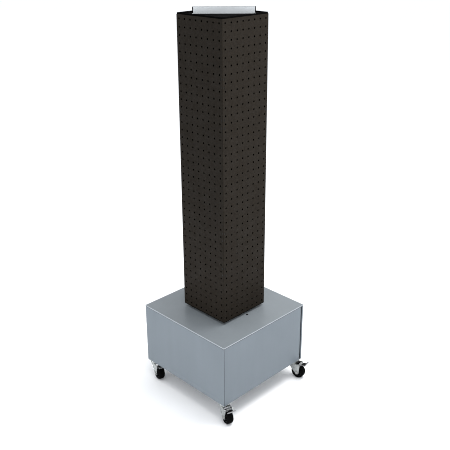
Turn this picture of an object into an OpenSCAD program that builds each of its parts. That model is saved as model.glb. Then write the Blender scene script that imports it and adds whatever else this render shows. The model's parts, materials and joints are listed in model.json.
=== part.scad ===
// Revolving pegboard tower on a square sheet-metal base with four swivel casters.
// Origin: on the floor under the tower's axis. +Z is up, -Y is the front.

/* [Peg panels] */
// Hole pitch of the peg grid
pitch = 25.4; // [25.4]
// Hole columns on each face
cols = 8; // [4:1:16]
// Hole rows on each panel
rows = 20; // [14:1:24]
// Peg hole diameter
hole_d = 6.35; // [5:0.05:8]
// Panel thickness
panel_t = 3; // [2:0.5:4]
// Radius of the tower's outer corners
corner_r = 1.5; // [0.5:0.5:2.5]
// Gap between neighbouring panels
seam = 0.2; // [0.1:0.1:0.5]

/* [Corner slots and posts] */
// Slot centre to tower corner
slot_inset = 6.8; // [6:0.1:9]
// Slot width
slot_w = 3.4; // [3:0.1:4]
// Slot height
slot_h = 8; // [6:0.5:10]
// Rows from the panel top to each lower slot of a pair
clip_rows = [8, 13]; // [2:1:18]
// Post wall thickness
post_t = 2; // [1.5:0.5:2.5]

/* [Top cap and sign channel] */
// Height of the cap rim above the panels
cap_rim_h = 5; // [3:0.5:8]
// How far the cap is set in from the panel faces
cap_inset = 1.2; // [0.5:0.1:2]
// Sign channel length
sign_l = 198; // [150:1:240]
// Sign channel height
sign_h = 21; // [15:0.5:30]
// Sign channel depth over both walls
sign_d = 14; // [10:0.5:24]
// Sign channel wall
sign_t = 1.6; // [1:0.2:3]
// How far the channel sits off the tower's axis
sign_shift = 5; // [0:0.5:10]
// Wall of the black liner in the channel
liner_t = 1; // [0.8:0.1:1.5]

/* [Base] */
// Base width and depth
base_w = 406.4; // [390:0.2:420]
// Base height
base_h = 228.6; // [180:0.2:240]
// Deck plate thickness
deck_t = 3; // [2:0.5:4]
// Wall sheet thickness
wall_t = 1.5; // [1:0.5:2]
// Deck overhang past the walls
deck_lip = 0.8; // [0.5:0.1:1.5]
// Width of the shadow gap beside the rear panel
rear_gap = 7; // [4:0.5:10]
// Tower tray to deck
turn_gap = 9.5; // [9:0.5:12]
// Turntable plate width
turn_w = 170; // [160:1:180]
// Turntable screw spacing
turn_pitch = 150; // [140:1:154]

/* [Casters] */
// Caster overall height
caster_h = 70; // [69:0.5:74]
// Wheel diameter
wheel_d = 50; // [49:0.5:51]
// Wheel width
wheel_w = 24; // [20:0.5:24]
// Kingpin axis to base edge
caster_inset = 22; // [21.5:0.5:30]
// Kingpin axis to wheel axis
trail = 24; // [22:0.5:25]
// Swivel angles at rest: front left, front right, rear right, rear left
swivel = [-14, -18, 12, 160]; // [-180:1:180]

/* [Hidden] */
$fn = 48;
eps = 0.01;

CASTERS = ["fl", "fr", "rr", "rl"];
CORNER_SIGNS = [[-1, -1], [1, -1], [1, 1], [-1, 1]];
CASTER_PARTS = ["plate", "fork", "axle", "hub", "tyre", "pedal"];
SIDES = ["front", "right", "back", "left"];

// Tower
tower_w = cols * pitch;
hw = tower_w / 2;
panel_h = rows * pitch;
tray_t = 2.5;
tray_lip = 8;
inner_hw = hw - panel_t;
joiner_h = 18;
joiner_gap = 0.3;
core_r = 46;
core_t = 2;
core_gap = 0.5;

// Levels, from the floor up
floor_z = caster_h;
deck_z = floor_z + base_h;
tray_z = deck_z + turn_gap;
lower_z = tray_z + tray_t;
upper_z = lower_z + panel_h;
tower_z = upper_z + panel_h;
cap_floor_t = 2.5;
cap_floor_z = tower_z + 0.5;
cap_skirt = 8;
cap_rim_t = 2.4;

// Turntable
turn_plate_t = 1.6;
ball_r = 3;
race_r = 58;
race_wall = 2;
race_gap = 0.3;
race_slack = 0.6;
turn_mid_z = deck_z + turn_gap / 2;
n_balls = 56;
turn_screw_r = 2;

// Base
wall_hw = base_w / 2 - deck_lip;
wall_top = deck_z - deck_t;
rear_flange = 14;
flange_inset = 6;
rear_y = wall_hw - wall_t;
rear_lip = 4;
side_end = rear_y - rear_lip - rear_gap;
floor_t = 2;
rail_w = 30;
rail_h = 20;
rail_x = turn_pitch / 2;
plug_r = turn_pitch / 2 * sqrt(2);
plug_angle = 4.5;

// Casters
plate_w = 42;
plate_t = 2;
plate_hole = 28;
plate_screw_r = 2;
axle_z = wheel_d / 2;
axle_r = 3;
run_gap = 0.05;
king_r = 4;
race_top = floor_z - plate_t;
crown_z = 56.5;
crown_t = 2.5;
crown_r = 22;
cup_r = 15.5;
cup_t = 2;
leg_t = 2;
leg_in = wheel_w / 2 + 1;
leg_end_r = 7.5;
leg_top_w = 16;
hub_r = 17.5;
pivot_x = trail + 6;
pivot_z = 55.5;
pivot_r = 1.8;
ear_r = 5;
shoe_gap = 0.15;
shoe_e = 2.5;
shoe_r = norm([pivot_x - trail, pivot_z - axle_z]) - wheel_d / 2 - shoe_e - shoe_gap;
shoe_w = 9;
press_angle = 30;

// ---------- helpers ----------

// Square prism with round corners, centred on the axis.
module round_prism(half, r, h) {
    linear_extrude(height = h) {
        square([2 * half, 2 * (half - r)], center = true);
        square([2 * (half - r), 2 * half], center = true);
        for (x = [-1, 1]) for (y = [-1, 1])
            translate([x * (half - r), y * (half - r)]) circle(r = r);
    }
}

module at_corners(d) {
    for (x = [-1, 1]) for (y = [-1, 1]) translate([x * d / 2, y * d / 2, 0]) children();
}

// Pan-head screw with its head's underside at z = 0 and its shank below.
module pan_screw(r, len) {
    head_r = 1.9 * r;
    head_h = 1.1 * r;
    difference() {
        union() {
            translate([0, 0, -len]) cylinder(r = r, h = len + eps);
            intersection() {
                cylinder(r = head_r, h = head_h);
                translate([0, 0, head_h - 3 * r]) sphere(r = 3 * r);
            }
        }
        for (a = [0, 90]) rotate([0, 0, a])
            translate([-head_r * 0.55, -r * 0.16, head_h * 0.45]) cube([head_r * 1.1, r * 0.32, head_h]);
    }
}

// Where the line from point p touches the circle at c with radius r, on the left (s = 1) or right.
function tangent(p, c, r, s) =
    let (d = norm(p - c), a = atan2(p[1] - c[1], p[0] - c[0]), b = acos(r / d))
    c + r * [cos(a + s * b), sin(a + s * b)];

// ---------- tower ----------

module panel_cutouts() {
    for (i = [0 : cols - 1]) for (j = [0 : rows - 1])
        translate([(i + 0.5) * pitch - hw, (j + 0.5) * pitch]) circle(d = hole_d);
    for (s = [-1, 1]) for (n = clip_rows) for (k = [0, 1])
        translate([s * (hw - slot_inset), panel_h - (n - k) * pitch])
            square([slot_w, slot_h], center = true);
}

// One moulded panel, with mitred ends, standing on z = 0 on the front of the tower.
module peg_panel() {
    color([0.19, 0.175, 0.16])
    translate([0, 0, seam / 2])
    intersection() {
        translate([0, -inner_hw, -seam / 2]) rotate([90, 0, 0]) linear_extrude(height = panel_t)
            difference() {
                translate([-hw, seam / 2]) square([tower_w, panel_h - seam]);
                panel_cutouts();
            }
        round_prism(hw, corner_r, panel_h - seam);
        linear_extrude(height = panel_h - seam)
            polygon([[0, -seam / 2], [hw + 1, -hw - 1 - seam / 2], [-hw - 1, -hw - 1 - seam / 2]]);
    }
}

module peg_panel_at(side, z) {
    translate([0, 0, z]) rotate([0, 0, 90 * side]) peg_panel();
}

// Y-shaped post inside a corner, with tabs that reach into the corner slots.
// bottom and top are heights above the foot of the panel.
module corner_post(bottom, top) {
    leg = slot_inset + slot_w / 2 - panel_t + 0.8;
    web_l = 12;
    tab_w = 2.6;
    tab_h = slot_h - 1;
    reach = panel_t - 0.6;
    translate([inner_hw, -inner_hw, 0]) {
        translate([0, 0, bottom]) linear_extrude(height = top - bottom) {
            translate([-leg, 0]) square([leg, post_t]);
            translate([-post_t, 0]) square([post_t, leg]);
            rotate(135) translate([post_t, -post_t / 2]) square([web_l - post_t, post_t]);
        }
        for (n = clip_rows) for (k = [0, 1]) translate([0, 0, panel_h - (n - k) * pitch - tab_h / 2]) {
            translate([-slot_inset + panel_t - tab_w / 2, -reach, 0]) cube([tab_w, reach + eps, tab_h]);
            translate([-eps, slot_inset - panel_t - tab_w / 2, 0]) cube([reach + eps, tab_w, tab_h]);
        }
    }
}

module corner_posts(z, bottom, top) {
    color([0.12, 0.12, 0.12])
    for (side = [0 : 3]) translate([0, 0, z]) rotate([0, 0, 90 * side]) corner_post(bottom, top);
}

module panel_joiner() {
    joiner_hw = inner_hw - 0.1;
    color([0.12, 0.12, 0.12])
    translate([0, 0, upper_z - joiner_h / 2]) difference() {
        round_prism(joiner_hw, 1, joiner_h);
        translate([0, 0, -1]) round_prism(joiner_hw - 2, 1, joiner_h + 2);
    }
}

// Round spine that stands on the tray and ends just below the cap.
module core_tube() {
    core_z = tray_z + tray_t;
    core_h = cap_floor_z - cap_floor_t - core_gap - core_z;
    color([0.12, 0.12, 0.12])
    translate([0, 0, core_z]) difference() {
        cylinder(r = core_r, h = core_h);
        translate([0, 0, -1]) cylinder(r = core_r - core_t, h = core_h + 2);
    }
}

module bottom_tray() {
    lip_hw = inner_hw - 0.1;
    color([0.08, 0.08, 0.08])
    difference() {
        union() {
            translate([0, 0, tray_z]) round_prism(hw - 0.4, corner_r, tray_t);
            translate([0, 0, tray_z]) round_prism(lip_hw, 1, tray_t + tray_lip);
        }
        translate([0, 0, tray_z + tray_t]) round_prism(lip_hw - 2, 1, tray_lip + 1);
        translate([0, 0, tray_z - 1]) cylinder(r = core_r - 6, h = tray_t + 2);
        translate([0, 0, tray_z - 1]) at_corners(turn_pitch)
            cylinder(r = turn_screw_r + 0.3, h = tray_t + 2);
    }
}

// Recessed tray that closes the tower. Its rim stands above the panels.
module top_cap() {
    rim_hw = hw - cap_inset;
    color([0.05, 0.05, 0.05])
    difference() {
        union() {
            translate([0, 0, tower_z]) round_prism(rim_hw, corner_r, cap_rim_h);
            translate([0, 0, tower_z - cap_skirt]) round_prism(inner_hw - 0.1, 1, cap_skirt + 1);
        }
        translate([0, 0, cap_floor_z]) round_prism(rim_hw - cap_rim_t, 1, cap_rim_h);
        translate([0, 0, cap_floor_z - cap_floor_t - cap_skirt]) round_prism(inner_hw - 2.1, 1, cap_skirt);
        for (x = [-1, 1]) rotate([0, 0, 45]) translate([sign_shift + x * sign_l / 3, 0, tower_z - 5])
            cylinder(r = 1.9, h = 10);
    }
}

module in_sign_frame() {
    translate([0, 0, cap_floor_z]) rotate([0, 0, 45])
        translate([sign_shift, 0, 0]) children();
}

// U channel along the tower's diagonal. Its rear wall is the longer one.
module sign_channel() {
    front_l = sign_l - 7;
    color([0.75, 0.77, 0.78])
    in_sign_frame() difference() {
        union() {
            translate([-sign_l / 2, -sign_d / 2, 0]) cube([sign_l, sign_d, sign_t]);
            translate([-sign_l / 2, sign_d / 2 - sign_t, 0]) cube([sign_l, sign_t, sign_h]);
            translate([-front_l / 2, -sign_d / 2, 0]) cube([front_l, sign_t, sign_h]);
        }
        for (x = [-1, 1]) translate([x * sign_l / 3, 0, -1]) cylinder(r = 2, h = sign_t + 2);
    }
}

// Liner that grips a sign card. It fills the channel to its full length.
module sign_liner() {
    out = sign_d / 2 - sign_t - 0.05;
    color([0.05, 0.05, 0.05])
    in_sign_frame() difference() {
        translate([-sign_l / 2 + 0.4, -out, sign_t]) cube([sign_l - 0.8, 2 * out, sign_h - sign_t - 0.4]);
        translate([-sign_l / 2 - 1, -out + liner_t, sign_t + liner_t])
            cube([sign_l + 2, 2 * (out - liner_t), sign_h]);
        for (x = [-1, 1]) translate([x * sign_l / 3, 0, sign_t - 1]) cylinder(r = 2, h = liner_t + 2);
    }
}

module sign_screws() {
    color([0.75, 0.75, 0.75])
    in_sign_frame() for (x = [-1, 1])
        translate([x * sign_l / 3, 0, sign_t + liner_t]) pan_screw(1.8, 8);
}

// ---------- turntable ----------

module turn_plate() {
    difference() {
        round_prism(turn_w / 2, 6, turn_plate_t);
        translate([0, 0, -1]) cylinder(r = race_r - 14, h = turn_plate_t + 2);
        translate([0, 0, -1]) at_corners(turn_pitch) cylinder(r = turn_screw_r + 0.2, h = turn_plate_t + 2);
    }
}

module race_ring(r_in, h) {
    difference() {
        cylinder(r = r_in + race_wall, h = h);
        translate([0, 0, -1]) cylinder(r = r_in, h = h + 2);
    }
}

module turntable_upper() {
    color([0.6, 0.6, 0.58]) translate([0, 0, tray_z]) mirror([0, 0, 1]) {
        turn_plate();
        race_ring(race_r + ball_r + race_gap, turn_gap - turn_plate_t - race_slack);
    }
}

module turntable_lower() {
    color([0.6, 0.6, 0.58]) translate([0, 0, deck_z]) {
        turn_plate();
        race_ring(race_r - ball_r - race_gap - race_wall, turn_gap - turn_plate_t - race_slack);
    }
}

module turntable_balls() {
    color([0.8, 0.8, 0.8])
    for (i = [0 : n_balls - 1]) rotate([0, 0, i * 360 / n_balls])
        translate([race_r, 0, turn_mid_z]) sphere(r = ball_r);
}

// Screws up through the turntable into the tray, with their nuts.
module turntable_screws_upper() {
    nut_h = 3;
    color([0.7, 0.7, 0.7]) at_corners(turn_pitch) {
        translate([0, 0, tray_z - turn_plate_t]) mirror([0, 0, 1]) pan_screw(turn_screw_r, 8.5);
        translate([0, 0, tray_z + tray_t]) difference() {
            cylinder(r = 4, h = nut_h, $fn = 6);
            translate([0, 0, -1]) cylinder(r = turn_screw_r + 0.02, h = nut_h + 2);
        }
    }
}

// Screws down through the lower plate, set between the upper ones, into the rails.
module turntable_screws_lower() {
    color([0.7, 0.7, 0.7]) at_corners(turn_pitch)
        translate([0, 0, deck_z + turn_plate_t]) pan_screw(turn_screw_r, 8);
}

// ---------- base ----------

module base_deck() {
    color([0.6, 0.63, 0.66])
    translate([0, 0, wall_top]) difference() {
        round_prism(base_w / 2, 1.5, deck_t);
        translate([0, 0, -1]) at_corners(turn_pitch) cylinder(r = turn_screw_r + 0.2, h = deck_t + 2);
        rotate([0, 0, plug_angle]) translate([plug_r, 0, -1]) cylinder(r = 3, h = deck_t + 2);
    }
}

module deck_plug() {
    color([0.1, 0.1, 0.1])
    rotate([0, 0, plug_angle]) translate([plug_r, 0, deck_z]) {
        translate([0, 0, -deck_t - 1]) cylinder(r = 2.95, h = deck_t + 1 + eps);
        intersection() {
            cylinder(r = 4, h = 1.4);
            translate([0, 0, -6.6]) sphere(r = 8);
        }
    }
}

module base_front() {
    color([0.57, 0.6, 0.63])
    translate([-wall_hw, -wall_hw, floor_z]) cube([2 * wall_hw, wall_t, wall_top - floor_z]);
}

// Side walls stop short of the rear panel and leave the shadow gap.
module side_wall(s) {
    y0 = -wall_hw + wall_t;
    color([0.57, 0.6, 0.63])
    translate([s * (wall_hw - wall_t / 2) - wall_t / 2, y0, floor_z])
        cube([wall_t, side_end - y0, wall_top - floor_z]);
}

module base_right() side_wall(1);

module base_left() side_wall(-1);

// Rear panel with a short lip at each side, and two flanges that close the shadow gaps from inside.
module base_rear() {
    flange_x = wall_hw - flange_inset;
    flange_lift = 12;
    panel_top = wall_top - 0.3;
    panel_len = panel_top - floor_z;
    color([0.57, 0.6, 0.63])
    difference() {
        translate([0, 0, floor_z]) {
            translate([-wall_hw, rear_y, 0]) cube([2 * wall_hw, wall_t, panel_len]);
            for (s = [-1, 1]) {
                translate([s * (wall_hw - wall_t / 2) - wall_t / 2, rear_y - rear_lip, 0])
                    cube([wall_t, rear_lip + eps, panel_len]);
                translate([s * (flange_x - wall_t / 2) - wall_t / 2, rear_y - rear_flange, flange_lift])
                    cube([wall_t, rear_flange + eps, panel_len - flange_lift]);
            }
        }
        at_rear_screws() translate([0, 0, -1]) cylinder(r = 2.2, h = 6);
    }
}

// The four screw places on the rear panel, each with its axis pointing out of the panel.
module at_rear_screws() {
    margin = 24;
    for (x = [-1, 1]) for (z = [floor_z + margin, wall_top - margin])
        translate([x * (wall_hw - margin), wall_hw - 3, z]) rotate([-90, 0, 0]) children();
}

module rear_screws() {
    color([0.7, 0.7, 0.7]) at_rear_screws() translate([0, 0, 3]) pan_screw(2, 9);
}

module base_floor() {
    fx = wall_hw - wall_t - 0.1;
    y_front = -wall_hw + wall_t + 0.1;
    y_back = rear_y - 0.1;
    color([0.5, 0.52, 0.54])
    translate([0, 0, floor_z]) difference() {
        translate([-fx, y_front, 0]) cube([2 * fx, y_back - y_front, floor_t]);
        for (i = [0 : 3]) caster_xy(i) at_corners(plate_hole)
            translate([0, 0, -1]) cylinder(r = plate_screw_r + 0.2, h = floor_t + 2);
    }
}

// Two square tubes under the deck, where the turntable is screwed down.
module deck_rails() {
    rail_len = 2 * wall_hw - 2 * wall_t - 2 * rear_flange - 2;
    tube_t = 1.5;
    color([0.5, 0.52, 0.54])
    for (s = [-1, 1]) translate([s * rail_x, 0, wall_top - rail_h]) difference() {
        translate([-rail_w / 2, -rail_len / 2, 0]) cube([rail_w, rail_len, rail_h]);
        translate([-rail_w / 2 + tube_t, -rail_len / 2 - 1, tube_t])
            cube([rail_w - 2 * tube_t, rail_len + 2, rail_h - 2 * tube_t]);
        for (y = [-1, 1]) translate([0, y * turn_pitch / 2, rail_h - tube_t - 1])
            cylinder(r = turn_screw_r + 0.02, h = tube_t + 2);
    }
}

// ---------- casters ----------

module caster_xy(i) {
    d = base_w / 2 - caster_inset;
    translate([CORNER_SIGNS[i][0] * d, CORNER_SIGNS[i][1] * d, 0]) children();
}

// Frame of caster i: kingpin on the z axis, wheel trailing along +X.
module caster_frame(i) {
    caster_xy(i) rotate([0, 0, swivel[i]]) children();
}

// Fixed mounting plate with the inner race under it.
module caster_plate(i) {
    race_h = race_top - crown_z - crown_t - 0.4;
    color([0.8, 0.8, 0.8]) caster_xy(i) difference() {
        union() {
            translate([0, 0, race_top]) round_prism(plate_w / 2, 4, plate_t);
            translate([0, 0, race_top - race_h]) cylinder(r1 = 10, r2 = 12, h = race_h + eps);
        }
        translate([0, 0, race_top - race_h - 1]) cylinder(r = king_r, h = race_h + plate_t + 2);
        at_corners(plate_hole) translate([0, 0, race_top - 1])
            cylinder(r = plate_screw_r + 0.2, h = plate_t + 2);
    }
}

module kingpins() {
    head_h = 1.8;
    head_z = crown_z - head_h - 0.2;
    color([0.7, 0.7, 0.7]) for (i = [0 : 3]) caster_xy(i) {
        translate([0, 0, head_z]) cylinder(r = king_r, h = floor_z - head_z);
        translate([0, 0, head_z]) cylinder(r1 = 5.5, r2 = 7, h = head_h);
    }
}

module caster_screws() {
    nut_h = 3.5;
    color([0.7, 0.7, 0.7]) for (i = [0 : 3]) caster_xy(i) at_corners(plate_hole) {
        translate([0, 0, race_top]) mirror([0, 0, 1]) pan_screw(plate_screw_r, 10);
        translate([0, 0, floor_z + floor_t]) difference() {
            cylinder(r = 4.6, h = nut_h, $fn = 6);
            translate([0, 0, -1]) cylinder(r = plate_screw_r + 0.02, h = nut_h + 2);
        }
    }
}

// Side view of a fork leg: a wide top that tapers to a round end at the axle, and an ear for the pedal.
module leg_outline() {
    c = [trail, axle_z];
    e = [pivot_x, pivot_z];
    top = crown_z + crown_t;
    a = [-leg_top_w, top];
    front = tangent(a, c, leg_end_r, 1);
    rear_side = tangent([ear_r + pivot_x, pivot_z], c, leg_end_r, -1);
    difference() {
        union() {
            translate(c) circle(r = leg_end_r);
            translate(e) circle(r = ear_r);
            polygon([a, front, c, rear_side, [pivot_x + ear_r, pivot_z], e, [pivot_x, top]]);
        }
        translate(c) circle(r = axle_r + 0.02);
        translate(e) circle(r = pivot_r + run_gap);
    }
}

// Stamped fork: crown with its outer race, and two legs.
module caster_fork(i) {
    cup_h = race_top - crown_z - 1.2;
    color([0.8, 0.8, 0.8]) caster_frame(i) difference() {
        union() {
            translate([0, 0, crown_z]) intersection() {
                cylinder(r = crown_r, h = crown_t);
                translate([-leg_top_w, -leg_in - leg_t, 0])
                    cube([leg_top_w + cup_r, 2 * (leg_in + leg_t), crown_t]);
            }
            translate([0, 0, crown_z]) cylinder(r = cup_r, h = crown_t);
            translate([0, 0, crown_z]) difference() {
                cylinder(r = cup_r, h = cup_h);
                translate([0, 0, -1]) cylinder(r = cup_r - cup_t, h = cup_h + 2);
            }
            for (s = [-1, 1]) translate([0, s * (leg_in + leg_t / 2) + leg_t / 2, 0])
                rotate([90, 0, 0]) linear_extrude(height = leg_t) leg_outline();
        }
        translate([0, 0, crown_z - 1]) cylinder(r = king_r + run_gap, h = crown_t + 2);
    }
}

// Axle bolt through both legs, with its head and nut.
module caster_axle(i) {
    half = leg_in + leg_t;
    head_h = 2.6;
    nut_h = 3.6;
    color([0.72, 0.72, 0.72]) caster_frame(i) translate([trail, 0, axle_z]) rotate([90, 0, 0]) {
        translate([0, 0, -half - nut_h - 0.8]) cylinder(r = axle_r, h = 2 * half + nut_h + 0.8 + eps);
        translate([0, 0, half]) cylinder(r = 5.4, h = head_h, $fn = 6);
        translate([0, 0, -half - nut_h]) difference() {
            cylinder(r = 5.4, h = nut_h, $fn = 6);
            translate([0, 0, -1]) cylinder(r = axle_r + 0.02, h = nut_h + 2);
        }
    }
}

// Wheel centre with a thin web, a bore for the axle and a rim for the tyre.
module caster_hub(i) {
    hw2 = wheel_w / 2;
    web = 3;
    boss_r = 7;
    boss_h = hw2 + 0.7;
    bore = axle_r + run_gap;
    rim_h = hw2 - 1.5;
    rim_in = hub_r - 2.5;
    color([0.1, 0.1, 0.1]) caster_frame(i) translate([trail, 0, axle_z]) rotate([90, 0, 0])
        rotate_extrude() polygon([
            [bore, -boss_h], [boss_r, -boss_h], [boss_r + 1, -web], [rim_in - 1, -web],
            [rim_in, -rim_h], [hub_r, -rim_h], [hub_r, rim_h], [rim_in, rim_h],
            [rim_in - 1, web], [boss_r + 1, web], [boss_r, boss_h], [bore, boss_h]
        ]);
}

// Tyre with round shoulders.
module caster_tyre(i) {
    r = wheel_d / 2;
    hw2 = wheel_w / 2;
    sh = 6;
    color([0.04, 0.04, 0.04]) caster_frame(i) translate([trail, 0, axle_z]) rotate([90, 0, 0])
        rotate_extrude() {
            translate([hub_r, -hw2]) square([r - sh - hub_r, 2 * hw2]);
            translate([hub_r, -hw2 + sh]) square([r - hub_r, 2 * (hw2 - sh)]);
            for (s = [-1, 1]) intersection() {
                translate([r - sh, s * (hw2 - sh)]) circle(r = sh);
                translate([hub_r, -hw2]) square([r - hub_r, 2 * hw2]);
            }
        }
}

// Brake pedal: a trunnion in the fork's ears, a cam shoe over the tyre and a foot tab that bends up.
module caster_pedal(i) {
    to_wheel = atan2(axle_z - pivot_z, trail - pivot_x);
    shoe_a = to_wheel + press_angle;
    neck_l = 8;
    neck_w = 20;
    tab_l = 16;
    tab_w = 16;
    tab_tilt = 12;
    tip_l = 8;
    tip_w = 30;
    tip_tilt = 45;
    tab_t = 2.4;
    color([0.3, 0.3, 0.3]) caster_frame(i) translate([pivot_x, 0, pivot_z]) {
        rotate([90, 0, 0]) translate([0, 0, -leg_in - leg_t])
            cylinder(r = pivot_r, h = 2 * (leg_in + leg_t));
        rotate([90, 0, 0]) translate([0, 0, -shoe_w]) cylinder(r = 3.2, h = 2 * shoe_w);
        translate([shoe_e * cos(shoe_a), 0, shoe_e * sin(shoe_a)])
            rotate([90, 0, 0]) translate([0, 0, -shoe_w]) cylinder(r = shoe_r, h = 2 * shoe_w);
        translate([0, -neck_w / 2, 0.5]) {
            cube([neck_l + 0.5, neck_w, tab_t]);
            translate([neck_l, (neck_w - tab_w) / 2, 0]) rotate([0, -tab_tilt, 0]) {
                cube([tab_l, tab_w, tab_t]);
                translate([tab_l - 0.8, (tab_w - tip_w) / 2, 0]) rotate([0, tab_tilt - tip_tilt, 0])
                    cube([tip_l, tip_w, tab_t]);
            }
        }
    }
}

// ---------- assembly ----------

for (s = [0 : 3]) {
    peg_panel_at(s, lower_z);
    peg_panel_at(s, upper_z);
}
corner_posts(lower_z, tray_lip + joiner_gap, panel_h - joiner_h / 2 - joiner_gap);  // corner_posts_lower
corner_posts(upper_z, joiner_h / 2 + joiner_gap, panel_h - cap_skirt - joiner_gap);  // corner_posts_upper
panel_joiner();
core_tube();
bottom_tray();
top_cap();
sign_channel();
sign_liner();
sign_screws();
turntable_upper();
turntable_screws_upper();
turntable_lower();
turntable_screws_lower();
turntable_balls();
base_deck();
base_front();
base_right();
base_left();
base_rear();
base_floor();
deck_rails();
rear_screws();
deck_plug();
kingpins();
caster_screws();
for (i = [0 : 3]) {
    caster_plate(i);
    caster_fork(i);
    caster_axle(i);
    caster_hub(i);
    caster_tyre(i);
    caster_pedal(i);
}
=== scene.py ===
import json
import math

import bmesh
import bpy
from mathutils import Matrix, Vector


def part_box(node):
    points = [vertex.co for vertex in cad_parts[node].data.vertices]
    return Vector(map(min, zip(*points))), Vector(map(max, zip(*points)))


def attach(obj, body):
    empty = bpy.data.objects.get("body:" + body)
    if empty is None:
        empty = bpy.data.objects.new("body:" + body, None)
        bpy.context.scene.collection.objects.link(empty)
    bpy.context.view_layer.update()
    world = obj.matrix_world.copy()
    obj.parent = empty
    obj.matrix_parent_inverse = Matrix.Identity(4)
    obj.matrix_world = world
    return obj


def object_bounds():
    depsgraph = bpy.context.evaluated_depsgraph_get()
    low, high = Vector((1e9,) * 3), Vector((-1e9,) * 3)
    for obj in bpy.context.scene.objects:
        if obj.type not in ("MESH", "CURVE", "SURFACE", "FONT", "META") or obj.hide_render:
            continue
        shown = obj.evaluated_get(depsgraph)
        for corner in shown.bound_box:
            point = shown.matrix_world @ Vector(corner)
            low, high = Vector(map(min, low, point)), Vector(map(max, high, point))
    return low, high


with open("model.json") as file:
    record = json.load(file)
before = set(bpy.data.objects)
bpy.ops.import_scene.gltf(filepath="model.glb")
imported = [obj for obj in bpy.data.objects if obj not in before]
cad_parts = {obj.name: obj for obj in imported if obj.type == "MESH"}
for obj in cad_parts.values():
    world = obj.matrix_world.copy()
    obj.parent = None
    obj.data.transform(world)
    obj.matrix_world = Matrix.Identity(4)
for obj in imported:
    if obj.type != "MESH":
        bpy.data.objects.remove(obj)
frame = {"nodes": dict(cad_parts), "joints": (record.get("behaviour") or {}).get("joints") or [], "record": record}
CAD_LO, CAD_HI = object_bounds()
NODES = frame["nodes"]
JOINTS = {j["name"]: j for j in frame["joints"]}
CASTERS = ("fl", "fr", "rr", "rl")
MM = 0.001
SHARP_ANGLE = math.radians(35)

# A caster's sizes in millimetres, as in the CAD.
LEG_FRONT = 16
LEG_OUT = 15
LEG_END_R = 7.5
EAR_R = 5
RACE_R = 11.6
CUP_R = 15.3
BOSS_R = 6.6
HUB_WEB = 2.6
RIB_HALF = 9.6
BOSS_HALF = 12.4
TYRE_HALF = 12
TIP_HALF = 13.6

DECK_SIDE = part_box("base_deck")[1].x
TOWER_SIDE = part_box("peg_panel_right_upper")[1].x
scene = bpy.context.scene


# ---------- camera ----------

def make_camera():
    """Photograph's viewing angle: a three-quarter view of the near corner, from above the tower's top."""
    azimuth, elevation, roll = math.radians(45.35), math.radians(21.17), math.radians(-0.33)
    location = Vector((1.602, -1.576, 0.25 + CAD_HI.z - 0.0215))
    sensor, picture, focal, shift = 36, 450, 704.5, -25
    back = Vector((
        math.sin(azimuth) * math.cos(elevation),
        -math.cos(azimuth) * math.cos(elevation),
        math.sin(elevation),
    ))
    right = Vector((0, 0, 1)).cross(back).normalized()
    up = back.cross(right)
    rolled_right = math.cos(roll) * right + math.sin(roll) * up
    rolled_up = -math.sin(roll) * right + math.cos(roll) * up
    cam = bpy.data.objects.new("camera", bpy.data.cameras.new("camera"))
    cam.matrix_world = Matrix((
        (rolled_right.x, rolled_up.x, back.x, location.x),
        (rolled_right.y, rolled_up.y, back.y, location.y),
        (rolled_right.z, rolled_up.z, back.z, location.z),
        (0, 0, 0, 1),
    ))
    cam.data.sensor_width = sensor
    cam.data.lens = focal / picture * sensor
    cam.data.shift_y = shift / picture
    cam.data.clip_end = 200
    scene.collection.objects.link(cam)
    scene.camera = cam


# ---------- lights and floor ----------

def lamp(name, kind, location, target, energy, **settings):
    light = bpy.data.lights.new(name, kind)
    light.energy = energy
    for key, value in settings.items():
        setattr(light, key, value)
    obj = bpy.data.objects.new(name, light)
    obj.location = location
    obj.rotation_euler = (Vector(target) - Vector(location)).to_track_quat("-Z", "Y").to_euler()
    scene.collection.objects.link(obj)


def make_studio():
    world = bpy.data.worlds.new("studio")
    scene.world = world
    world.use_nodes = True
    sky = world.node_tree.nodes["Background"]
    sky.inputs["Color"].default_value = (0.945, 0.97, 1, 1)
    sky.inputs["Strength"].default_value = 1.115
    lamp("key_above", "AREA", (0.6, 1.2, 3.2), (0, 0, 0.3), 64, shape="RECTANGLE", size=1.8, size_y=1.8)
    lamp("key_front", "AREA", (0.9, -0.5, 3.2), (0, 0, 0.3), 19, shape="RECTANGLE", size=1.2, size_y=1.2)
    lamp("fill_tower", "SPOT", (3.2, 0.6, 1.9), (0.1, 0, 1.0), 196, spot_size=math.radians(25),
         spot_blend=0.5, shadow_soft_size=0.4)
    lamp("fill_base", "SPOT", (-0.9, -2.6, 0.4), (0, -0.2, 0.23), 300, spot_size=math.radians(12),
         spot_blend=0.8, shadow_soft_size=0.4)

    floor_half = 60
    floor = bpy.data.objects.new("floor", bpy.data.meshes.new("floor"))
    bm = bmesh.new()
    bmesh.ops.create_grid(bm, x_segments=1, y_segments=1, size=floor_half)
    bm.to_mesh(floor.data)
    bm.free()
    scene.collection.objects.link(floor)
    floor.data.materials.append(shader("studio_floor", (0.95, 0.95, 0.955), 0.9, spec=0)[0])


# ---------- material helpers ----------

def shader(name, colour, rough, metal=0.0, spec=0.5):
    mat = bpy.data.materials.new(name)
    mat.use_nodes = True
    tree = mat.node_tree
    bsdf = tree.nodes["Principled BSDF"]
    bsdf.inputs["Base Color"].default_value = (*colour, 1)
    bsdf.inputs["Roughness"].default_value = rough
    bsdf.inputs["Metallic"].default_value = metal
    bsdf.inputs["Specular IOR Level"].default_value = spec
    mat.diffuse_color = (*colour, 1)
    return mat, bsdf, tree


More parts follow.
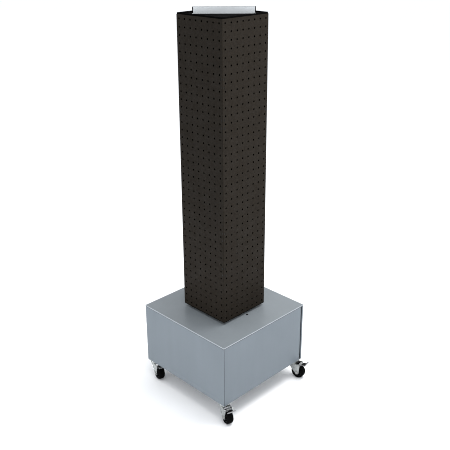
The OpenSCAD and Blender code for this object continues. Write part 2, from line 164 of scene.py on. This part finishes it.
def noise(tree, scale, stretch=(1, 1, 1), detail=3.0, rough=0.55):
    """Noise in the object's own metres; scale is features per metre."""
    coord = tree.nodes.new("ShaderNodeTexCoord")
    mapping = tree.nodes.new("ShaderNodeMapping")
    mapping.inputs["Scale"].default_value = stretch
    tex = tree.nodes.new("ShaderNodeTexNoise")
    tex.inputs["Scale"].default_value = scale
    tex.inputs["Detail"].default_value = detail
    tex.inputs["Roughness"].default_value = rough
    tree.links.new(coord.outputs["Object"], mapping.inputs["Vector"])
    tree.links.new(mapping.outputs["Vector"], tex.inputs["Vector"])
    return tex.outputs["Fac"]


def map_range(tree, value, low, high):
    ranged = tree.nodes.new("ShaderNodeMapRange")
    ranged.inputs["From Min"].default_value = low
    ranged.inputs["From Max"].default_value = high
    tree.links.new(value, ranged.inputs["Value"])
    return ranged


def vary(tree, bsdf, socket, fac, low, high):
    """Drives a value or colour input between low and high by a noise's usual span."""
    ranged = map_range(tree, fac, 0.3, 0.7)
    if isinstance(low, tuple):
        mix = tree.nodes.new("ShaderNodeMix")
        mix.data_type = "RGBA"
        mix.inputs[6].default_value = (*low, 1)
        mix.inputs[7].default_value = (*high, 1)
        tree.links.new(ranged.outputs["Result"], mix.inputs[0])
        tree.links.new(mix.outputs[2], bsdf.inputs[socket])
    else:
        ranged.inputs["To Min"].default_value = low
        ranged.inputs["To Max"].default_value = high
        tree.links.new(ranged.outputs["Result"], bsdf.inputs[socket])


def bump(tree, bsdf, fac, height, strength, after=None):
    node = tree.nodes.new("ShaderNodeBump")
    node.inputs["Distance"].default_value = height
    node.inputs["Strength"].default_value = strength
    tree.links.new(fac, node.inputs["Height"])
    if after is not None:
        tree.links.new(after.outputs["Normal"], node.inputs["Normal"])
    tree.links.new(node.outputs["Normal"], bsdf.inputs["Normal"])
    return node


def scaled(colour, k):
    return tuple(c * k for c in colour)


# ---------- materials ----------

def farthest_side(tree):
    """The larger of |x| and |y| in the object's own metres, constant over a square tower's faces."""
    coord = tree.nodes.new("ShaderNodeTexCoord")
    split = tree.nodes.new("ShaderNodeSeparateXYZ")
    far = tree.nodes.new("ShaderNodeMath")
    far.operation = "MAXIMUM"
    tree.links.new(coord.outputs["Object"], split.inputs["Vector"])
    for k, axis in enumerate("XY"):
        side = tree.nodes.new("ShaderNodeMath")
        side.operation = "ABSOLUTE"
        tree.links.new(split.outputs[axis], side.inputs[0])
        tree.links.new(side.outputs[0], far.inputs[k])
    return far.outputs[0]


def blend_input(tree, bsdf, socket, fac, value, keep_high=False):
    """Mixes an input's present source with a value by fac."""
    old = bsdf.inputs[socket].links[0].from_socket
    colour = isinstance(value, tuple)
    mix = tree.nodes.new("ShaderNodeMix")
    mix.data_type = "RGBA" if colour else "FLOAT"
    a, b, out = (6, 7, 2) if colour else (2, 3, 0)
    if keep_high:
        a, b = b, a
    tree.links.new(fac, mix.inputs[0])
    tree.links.new(old, mix.inputs[a])
    mix.inputs[b].default_value = (*value, 1) if colour else value
    tree.links.new(mix.outputs[out], bsdf.inputs[socket])


def paint_shade_inside(tree, bsdf):
    """Paints shade into the hole bores and the back of a panel: away from the outer face the colour turns
    near-black with no specular, as painted shade.
    """
    near_face = map_range(tree, farthest_side(tree), TOWER_SIDE - 0.9 * MM, TOWER_SIDE - 0.3 * MM)
    outside = near_face.outputs["Result"]
    # Painted shade: the outer-face mask keeps the panel colour, and everything inward of it gets near-black.
    blend_input(tree, bsdf, "Base Color", outside, (0.0006, 0.0005, 0.0004), keep_high=True)
    blend_input(tree, bsdf, "Specular IOR Level", outside, 0.0, keep_high=True)


def panel_plastic():
    base = (0.0125, 0.0095, 0.0065)
    mat, bsdf, tree = shader("panel_plastic", base, 0.66)
    vary(tree, bsdf, "Specular IOR Level", noise(tree, 90), 0.06, 0.1)
    grain = noise(tree, 260, detail=4, rough=0.8)
    vary(tree, bsdf, "Base Color", grain, scaled(base, 0.6), scaled(base, 1.45))
    paint_shade_inside(tree, bsdf)
    vary(tree, bsdf, "Roughness", noise(tree, 22), 0.54, 0.7)
    bump(tree, bsdf, noise(tree, 1100, detail=2), 0.0002, 0.8)
    return mat


def black_trim():
    base = (0.0022, 0.0021, 0.0021)
    mat, bsdf, tree = shader("trim_plastic", base, 0.9, spec=0.01)
    vary(tree, bsdf, "Base Color", noise(tree, 90), scaled(base, 0.7), scaled(base, 1.4))
    bump(tree, bsdf, noise(tree, 1500, detail=2), 0.00012, 0.6)
    return mat


def inner_plastic():
    base = (0.006, 0.006, 0.006)
    mat, bsdf, tree = shader("inner_plastic", base, 0.5, spec=0.3)
    vary(tree, bsdf, "Roughness", noise(tree, 40), 0.42, 0.6)
    bump(tree, bsdf, noise(tree, 900), 0.0001, 0.5)
    return mat


def silver_paint(name, base, rough, metal, spec, wave):
    """Metallic paint over sheet metal; wave is how far the sheet's slow dents show."""
    mat, bsdf, tree = shader(name, base, rough, metal=metal, spec=spec)
    satin = noise(tree, 26, stretch=(1, 1, 0.08), detail=4, rough=0.6)
    vary(tree, bsdf, "Base Color", satin, scaled(base, 0.975), scaled(base, 1.025))
    vary(tree, bsdf, "Roughness", noise(tree, 9, detail=4), rough - 0.06, rough + 0.06)
    flake = bump(tree, bsdf, noise(tree, 2600, detail=1), 0.00005, 0.35)
    bump(tree, bsdf, noise(tree, 5, stretch=(1, 1, 0.35), detail=1), 0.0006, wave, after=flake)
    return mat, bsdf, tree


def base_silver():
    return silver_paint("base_silver", (0.172, 0.198, 0.221), 0.52, metal=0.2, spec=0.2, wave=0.25)[0]


def deck_silver():
    """The lid's glossier paint, with a painted highlight on its edges: a brighter, smoother band where the rounded
    edge would catch the light.
    """
    base = (0.179, 0.198, 0.211)
    mat, bsdf, tree = silver_paint("deck_silver", base, 0.36, metal=0.06, spec=0.24, wave=0.08)
    highlight_band = map_range(tree, farthest_side(tree), DECK_SIDE - 1.2 * MM, DECK_SIDE - 0.6 * MM)
    edge = highlight_band.outputs["Result"]
    # Painted highlight: the outermost band of the lid, top and sides, gets a lighter colour and a lower roughness.
    blend_input(tree, bsdf, "Base Color", edge, (0.36, 0.39, 0.42))
    blend_input(tree, bsdf, "Roughness", edge, 0.3)
    return mat


def sign_aluminium():
    base = (0.68, 0.71, 0.73)
    mat, bsdf, tree = shader("sign_aluminium", base, 0.38, metal=0.45)
    cloud = noise(tree, 14, stretch=(1, 1, 3), detail=4)
    vary(tree, bsdf, "Base Color", cloud, scaled(base, 0.95), scaled(base, 1.05))
    vary(tree, bsdf, "Roughness", noise(tree, 700, stretch=(0.03, 0.03, 1)), 0.34, 0.44)
    bump(tree, bsdf, noise(tree, 900, stretch=(0.03, 0.03, 1)), 0.00002, 0.3)
    return mat


def plated(name, base, rough):
    mat, bsdf, tree = shader(name, base, rough, metal=0.95)
    vary(tree, bsdf, "Base Color", noise(tree, 45, detail=5), scaled(base, 0.82), scaled(base, 1.1))
    vary(tree, bsdf, "Roughness", noise(tree, 120, detail=4), rough - 0.08, rough + 0.1)
    bump(tree, bsdf, noise(tree, 420, detail=3), 0.00008, 0.35)
    return mat


def inner_steel():
    base = (0.19, 0.205, 0.22)
    mat, bsdf, tree = shader("inner_steel", base, 0.5, metal=0.6)
    vary(tree, bsdf, "Base Color", noise(tree, 30, detail=5), scaled(base, 0.85), scaled(base, 1.1))
    bump(tree, bsdf, noise(tree, 1400, detail=2), 0.00005, 0.4)
    return mat


def rubber():
    base = (0.0012, 0.0012, 0.0013)
    mat, bsdf, tree = shader("tyre_rubber", base, 0.6, spec=0.03)
    vary(tree, bsdf, "Base Color", noise(tree, 160, detail=5), scaled(base, 0.7), (0.003, 0.0029, 0.0028))
    vary(tree, bsdf, "Roughness", noise(tree, 60), 0.5, 0.75)
    bump(tree, bsdf, noise(tree, 1800, detail=2), 0.0001, 0.5)
    return mat


def hub_plastic():
    base = (0.0025, 0.0025, 0.0027)
    mat, bsdf, tree = shader("hub_plastic", base, 0.4, spec=0.1)
    vary(tree, bsdf, "Roughness", noise(tree, 90), 0.3, 0.5)
    bump(tree, bsdf, noise(tree, 1300), 0.00006, 0.4)
    return mat


MATERIALS = {}


def make_materials():
    MATERIALS.update({
        "panel_plastic": panel_plastic(),
        "inner_plastic": inner_plastic(),
        "trim_plastic": black_trim(),
        "sign_aluminium": sign_aluminium(),
        "turntable_steel": plated("turntable_steel", (0.3, 0.3, 0.28), 0.38),
        "fasteners": plated("fasteners", (0.42, 0.42, 0.41), 0.34),
        "base_silver": base_silver(),
        "inner_steel": inner_steel(),
        "zinc": plated("zinc", (0.44, 0.46, 0.455), 0.24),
        "hub_plastic": hub_plastic(),
        "tyre_rubber": rubber(),
        "pedal_steel": plated("pedal_steel", (0.36, 0.36, 0.36), 0.32),
    })
    for part in frame["record"]["subparts"]:
        obj = NODES[part["node"]]
        obj.data.materials.clear()
        obj.data.materials.append(MATERIALS[part["material_slot"]])
    NODES["base_deck"].data.materials[0] = deck_silver()


# ---------- edges of the CAD nodes ----------

def round_edges(obj, width, segments=2):
    bevel = obj.modifiers.new("bevel", "BEVEL")
    bevel.width = width
    bevel.segments = segments
    bevel.limit_method = "ANGLE"
    bevel.angle_limit = SHARP_ANGLE
    obj.modifiers.new("normals", "WEIGHTED_NORMAL").keep_sharp = True


def soften(node, width, segments=2):
    """Rounds a node's sharp edges by modifiers, so that they catch the light."""
    weld = NODES[node].modifiers.new("weld", "WELD")
    weld.merge_threshold = 0.01 * MM
    round_edges(NODES[node], width, segments)


def soften_all():
    soften("base_deck", 1.0 * MM, 3)
    for n in ("base_front", "base_right", "base_left"):
        soften(n, 0.55 * MM)
    soften("sign_channel", 0.4 * MM)
    soften("top_cap", 0.5 * MM)
    soften("bottom_tray", 0.5 * MM)
    for c in CASTERS:
        soften(f"caster_{c}_fork", 0.4 * MM)
        soften(f"caster_{c}_pedal", 0.5 * MM)
        soften(f"caster_{c}_plate", 0.3 * MM)


# ---------- added pieces ----------

def piece(name, bm, body, slot, at=None, bevel=0.0):
    """Links a mesh that rides on a body and takes a record slot's finish."""
    bmesh.ops.recalc_face_normals(bm, faces=bm.faces)
    mesh = bpy.data.meshes.new(name)
    bm.to_mesh(mesh)
    bm.free()
    if at is not None:
        mesh.transform(at)
    mesh.polygons.foreach_set("use_smooth", [True] * len(mesh.polygons))
    mesh.materials.append(MATERIALS[slot])
    obj = bpy.data.objects.new(name, mesh)
    scene.collection.objects.link(obj)
    if bevel:
        round_edges(obj, bevel)
    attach(obj, body)


def block(bm, lo, hi, turn=None):
    """A box between two corners in millimetres, turned by a matrix."""
    made = bmesh.ops.create_cube(bm, size=1.0)["verts"]
    lo, hi = Vector(lo), Vector(hi)
    for v in made:
        v.co = Vector((lo[i] + (v.co[i] + 0.5) * (hi[i] - lo[i]) for i in range(3)))
        if turn is not None:
            v.co = turn @ v.co
        v.co *= MM


def lathe(bm, profile, steps=48, turn=None):
    """A closed ring about the local Z axis from (radius, height) points in millimetres."""
    rings = []
    for k in range(steps):
        a = 2 * math.pi * k / steps
        ring = []
        for r, z in profile:
            p = Vector((r * math.cos(a), r * math.sin(a), z))
            if turn is not None:
                p = turn @ p
            ring.append(bm.verts.new(p * MM))
        rings.append(ring)
    n = len(profile)
    for k in range(steps):
        a, b = rings[k], rings[(k + 1) % steps]
        for i in range(n):
            bm.faces.new((a[i], a[(i + 1) % n], b[(i + 1) % n], b[i]))


def square_ring(bm, outer, inner, z0, z1):
    """A square frame round the Z axis; the arguments are half widths and heights in millimetres."""
    for s in (-1, 1):
        low, high = sorted((s * inner, s * outer))
        block(bm, (-outer, low, z0), (outer, high, z1))
        block(bm, (low, -inner, z0), (high, inner, z1))


def joint_frame(name):
    """Frame at a caster's joint: Y along its axis, Z up and X along the trail."""
    joint = JOINTS[name]
    y = Vector(joint["axis"]).normalized()
    z = Vector((0, 0, 1))
    x = y.cross(z)
    p = joint["pos_m"]
    return Matrix((
        (x.x, y.x, z.x, p[0]),
        (x.y, y.y, z.y, p[1]),
        (x.z, y.z, z.z, p[2]),
        (0, 0, 0, 1),
    ))


def swivel_frame(c):
    """The same axes on the floor under a caster's kingpin."""
    at = joint_frame(f"wheel_spin_{c}")
    swivel = JOINTS[f"swivel_{c}"]["pos_m"]
    at.translation = (swivel[0], swivel[1], 0)
    return at


def tangent(p, c, r, s):
    """Angle at which the line from point p touches the circle at c with radius r, on side s."""
    return math.atan2(p[1] - c[1], p[0] - c[0]) + s * math.acos(r / math.dist(p, c))


def leg_path(c, top):
    """Outline of a fork leg's edges in the swivel frame, from its front top round the axle to its ear."""
    spin, brake, swivel = (JOINTS[f"{j}_{c}"]["pos_m"] for j in ("wheel_spin", "brake_press", "swivel"))
    axle = (math.dist(spin[:2], swivel[:2]) / MM, spin[2] / MM)
    ear = (math.dist(brake[:2], swivel[:2]) / MM + EAR_R, brake[2] / MM)
    corner = (-LEG_FRONT, top)
    a0 = tangent(corner, axle, LEG_END_R, 1)
    a1 = tangent(ear, axle, LEG_END_R, -1)
    a0 -= 2 * math.pi if a0 > a1 else 0
    steps = 14
    path = [corner]
    for k in range(steps + 1):
        a = a0 + (a1 - a0) * k / steps
        path.append((axle[0] + LEG_END_R * math.cos(a), axle[1] + LEG_END_R * math.sin(a)))
    return path + [ear]


def edge_bead(bm, path, y0, y1, width):
    """A narrow band that follows a path in the XZ plane, inside its line, between two Y places."""
    inner = []
    for i, p in enumerate(path):
        q0, q1 = path[max(i - 1, 0)], path[min(i + 1, len(path) - 1)]
        t = Vector((q1[0] - q0[0], q1[1] - q0[1])).normalized()
        inner.append((p[0] - t.y * width, p[1] + t.x * width))
    rows = []
    for (ox, oz), (ix, iz) in zip(path, inner):
        row = ((ox, y0, oz), (ox, y1, oz), (ix, y1, iz), (ix, y0, iz))
        rows.append([bm.verts.new(Vector(v) * MM) for v in row])
    for a, b in zip(rows, rows[1:]):
        for i in range(4):
            bm.faces.new((a[i], a[(i + 1) % 4], b[(i + 1) % 4], b[i]))
    bm.faces.new(rows[0])
    bm.faces.new(rows[-1])


def fork_details(c, swivel, crown, race_top):
    bm = bmesh.new()
    z, r = crown + 5, CUP_R
    lathe(bm, [(r, z), (r + 0.8, z + 0.4), (r + 1.1, z + 1.2), (r + 0.8, z + 2.0), (r, z + 2.4)])
    piece(f"race_bead_{c}", bm, f"fork_{c}", "zinc", swivel)

    bm = bmesh.new()
    z, r = race_top, RACE_R
    lathe(bm, [(r, z - 4), (r + 1.7, z - 3.4), (r + 1.8, z - 0.6), (r + 0.8, z - 0.02), (r, z - 0.02)])
    piece(f"race_seal_{c}", bm, "base", "hub_plastic", swivel)

    bm = bmesh.new()
    path = leg_path(c, crown + 2)
    for s in (-1, 1):
        edge_bead(bm, path, s * (LEG_OUT - 0.2), s * (LEG_OUT + 0.9), 1.1)
    piece(f"fork_edges_{c}", bm, f"fork_{c}", "zinc", swivel, bevel=0.25 * MM)


def wheel_details(c, spin):
    to_axle = Matrix.Rotation(math.radians(90), 3, "X")
    bm = bmesh.new()
    washer = ((3.2, -0.1), (6.9, -0.1), (7.0, 0.3), (6.6, 0.65), (3.2, 0.65))
    for s in (-1, 1):
        lathe(bm, [(r, s * (LEG_OUT + y)) for r, y in washer], turn=to_axle)
    piece(f"axle_washers_{c}", bm, f"fork_{c}", "fasteners", spin)

    bm = bmesh.new()
    n_ribs, rib_half_t = 6, 0.8
    rib_in, rib_out = 6.8, 15.2
    collar = (
        (BOSS_R, BOSS_HALF), (BOSS_R + 2, BOSS_HALF - 0.3), (BOSS_R + 2.3, BOSS_HALF - 1.3),
        (BOSS_R + 2.3, HUB_WEB + 0.2), (BOSS_R, HUB_WEB + 0.2),
    )
    for s in (-1, 1):
        low, high = sorted((s * HUB_WEB, s * RIB_HALF))
        for k in range(n_ribs):
            turn = Matrix.Rotation(math.radians(360 / n_ribs * k + 15), 3, "Y")
            block(bm, (rib_in, low, -rib_half_t), (rib_out, high, rib_half_t), turn)
        lathe(bm, [(r, s * y) for r, y in collar], turn=to_axle)
    piece(f"hub_ribs_{c}", bm, f"wheel_{c}", "hub_plastic", spin, bevel=0.25 * MM)

    bm = bmesh.new()
    for s in (-1, 1):
        for r, sunk in ((18.5, 0), (21.2, 0.45)):
            low, high = TYRE_HALF - sunk - 0.3, TYRE_HALF - sunk + 0.3
            ring = [(r - 0.5, s * low), (r - 0.3, s * high), (r + 0.3, s * high), (r + 0.5, s * low)]
            lathe(bm, ring, 64, to_axle)
    piece(f"tyre_rings_{c}", bm, f"wheel_{c}", "tyre_rubber", spin)


def pedal_details(c, brake):
    tab_tilt, tip_tilt = 12, 45
    neck_l, tip_start = 8, 15.2
    n_ribs, rib_pitch, rib_w = 4, 3.2, 1.6
    bm = bmesh.new()
    tab = Matrix.Translation((neck_l, 0, 0.5)) @ Matrix.Rotation(math.radians(-tab_tilt), 4, "Y")
    block(bm, (0.8, -8.6, 1.5), (14.5, 8.6, 3.4), tab)
    for k in range(n_ribs):
        x = 1.8 + rib_pitch * k
        block(bm, (x, -7.4, 3.2), (x + rib_w, 7.4, 4.1), tab)
    bend = Matrix.Rotation(math.radians(tab_tilt - tip_tilt), 4, "Y")
    tip = tab @ Matrix.Translation((tip_start, 0, 0)) @ bend
    block(bm, (1.2, -TIP_HALF, 1.6), (6.8, TIP_HALF, 3.2), tip)
    piece(f"pedal_pad_{c}", bm, f"brake_{c}", "hub_plastic", brake, bevel=0.35 * MM)


def caster_details(c):
    plate_t = 2
    race_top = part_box(f"caster_{c}_plate")[1].z / MM - plate_t
    crown = JOINTS[f"swivel_{c}"]["pos_m"][2] / MM
    fork_details(c, swivel_frame(c), crown, race_top)
    wheel_details(c, joint_frame(f"wheel_spin_{c}"))
    pedal_details(c, joint_frame(f"brake_press_{c}"))


def base_details():
    front_lo, front_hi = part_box("base_front")
    wall, foot = front_hi.x / MM, front_lo.z / MM
    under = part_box("base_deck")[0].z / MM
    gasket_foot = under - 1.7
    bm = bmesh.new()
    square_ring(bm, wall + 0.35, wall - 0.5, gasket_foot, under - 0.02)
    piece("deck_gasket", bm, "base", "trim_plastic")
    # Painted shade: thin black strips on both side walls just behind the front corner, standing in for the dark
    # line that the bent corner shows in the light.
    bm = bmesh.new()
    for s in (-1, 1):
        low, high = sorted((s * (wall - 0.4), s * (wall + 0.06)))
        block(bm, (low, -wall + 1.0, foot + 0.5), (high, -wall + 1.9, gasket_foot))
    piece("corner_shade_lines", bm, "base", "trim_plastic")


make_camera()
make_materials()
make_studio()
soften_all()
for caster in CASTERS:
    caster_details(caster)
base_details()
scene.view_settings.view_transform = "Standard"
scene.cycles.filter_width = 1.0
